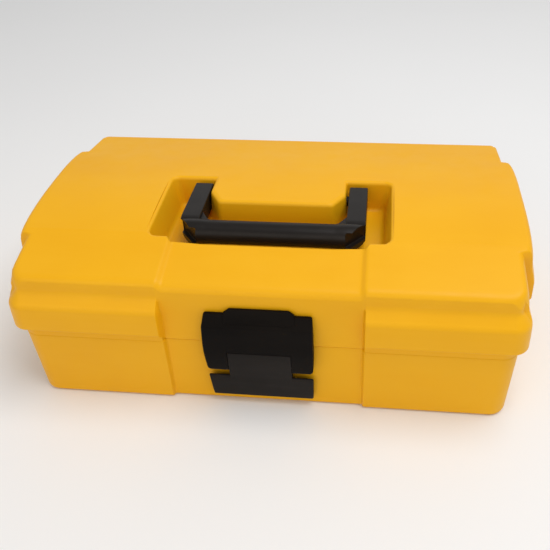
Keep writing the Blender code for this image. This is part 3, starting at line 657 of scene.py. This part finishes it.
# base, deep and pale tones of each plastic
YELLOW = ((0.87, 0.436, 0.005), (0.84, 0.408, 0.004), (0.89, 0.478, 0.014))
BLACK = ((0.012, 0.0095, 0.008), (0.009, 0.007, 0.006), (0.030, 0.025, 0.022))
DEEP_BLACK = ((0.006, 0.0045, 0.0035), (0.004, 0.003, 0.0025), (0.014, 0.011, 0.009))


def put(obj, body, mat, node):
    """Clean a finished mesh, shade it and give it its place in the object."""
    bm = bmesh.new()
    bm.from_mesh(obj.data)
    bmesh.ops.remove_doubles(bm, verts=bm.verts, dist=2e-6)
    bmesh.ops.dissolve_degenerate(bm, edges=bm.edges, dist=2e-6)
    bm.to_mesh(obj.data)
    bm.free()
    obj.data.materials.clear()
    obj.data.materials.append(mat)
    obj.data.shade_smooth()
    obj.data.set_sharp_from_angle(angle=math.radians(32))
    weighted = obj.modifiers.new("normals", "WEIGHTED_NORMAL")
    weighted.keep_sharp = True
    weighted.weight = 60
    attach(obj, body)
    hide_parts(node)


yellow_tub = moulded_plastic("yellow_tub", *YELLOW, 0.42)
yellow_lid = moulded_plastic("yellow_lid", *YELLOW, 0.40)
black_handle = moulded_plastic("black_handle", *BLACK, 0.34, 0.2, 0.18)
black_link = moulded_plastic("black_link", *DEEP_BLACK, 0.42, 0.2, 0.05)
black_lever = moulded_plastic("black_lever", *BLACK, 0.42, 0.2, 0.1)
black_tray = moulded_plastic("black_tray", *BLACK, 0.5, 0.3)
put(tub_mesh(), "tub", yellow_tub, "base_tub")
put(lid_mesh(), "lid", yellow_lid, "lid_shell")
put(handle_mesh(), "handle", black_handle, "carry_handle")
put(link_mesh(), "link", black_link, "latch_link")
put(lever_mesh(), "lever", black_lever, "latch_lever")
put(tray_mesh(), "tray", black_tray, "lift_out_tray")
STEEL = drawn_steel("drawn_steel", 0.62)
for pin in ("latch_lever_pin", "latch_link_pin", "hinge_pin_left", "hinge_pin_right"):
    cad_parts[pin].data.materials.clear()
    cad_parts[pin].data.materials.append(STEEL)


# ---- floor, light and camera -------------------------------------------------------------
def stage_floor():
    mesh = bpy.data.meshes.new("floor")
    size = 6.0
    mesh.from_pydata([(-size, -size, 0), (size, -size, 0), (size, size, 0), (-size, size, 0)], [],
                     [(0, 1, 2, 3)])
    floor = bpy.data.objects.new("floor", mesh)
    bpy.context.scene.collection.objects.link(floor)
    floor.data.materials.append(floor_material())


def area_light(name, place, target, size, power, colour=(1, 1, 1)):
    data = bpy.data.lights.new(name, "AREA")
    data.shape = "RECTANGLE"
    data.size, data.size_y = size
    data.energy = power
    data.color = colour
    light = bpy.data.objects.new(name, data)
    light.location = place
    light.rotation_euler = (Vector(target) - Vector(place)).to_track_quat("-Z", "Y").to_euler()
    bpy.context.scene.collection.objects.link(light)


def world_light(strength):
    world = bpy.data.worlds.new("studio")
    world.use_nodes = True
    background = world.node_tree.nodes["Background"]
    background.inputs["Color"].default_value = (1.0, 1.0, 1.0, 1.0)
    background.inputs["Strength"].default_value = strength
    bpy.context.scene.world = world


def camera():
    """Pinhole camera, in front of the box and above it."""
    fwd = Vector((-math.sin(YAW) * math.cos(PITCH), math.cos(YAW) * math.cos(PITCH), -math.sin(PITCH)))
    right = Vector((math.cos(YAW), math.sin(YAW), 0.0))
    up = right.cross(fwd)
    side = right * math.cos(ROLL) + up * math.sin(ROLL)
    top = up * math.cos(ROLL) - right * math.sin(ROLL)
    data = bpy.data.cameras.new("camera")
    data.sensor_width = 36.0
    data.lens = LENS
    data.shift_x, data.shift_y = SHIFT
    data.clip_start, data.clip_end = 0.01, 20.0
    cam = bpy.data.objects.new("camera", data)
    x, y, z = CAMERA_PLACE
    cam.matrix_world = Matrix((
        (side.x, top.x, -fwd.x, x), (side.y, top.y, -fwd.y, y), (side.z, top.z, -fwd.z, z), (0, 0, 0, 1)))
    bpy.context.scene.collection.objects.link(cam)
    bpy.context.scene.camera = cam


stage_floor()
area_light("overhead", (0.45, -0.15, 1.3), (0, 0, 0.05), (1.0, 0.8), 10.2)
area_light("back_sheen", (0.2, 1.7, 1.1), (0, 0, 0.1), (2.4, 1.0), 2.5)
area_light("front_fill", (-0.5, -1.4, 0.7), (0, 0, 0.05), (1.4, 0.8), 4.4, (1.0, 0.88, 0.74))
world_light(0.50)
camera()
bpy.context.scene.view_settings.view_transform = "Standard"
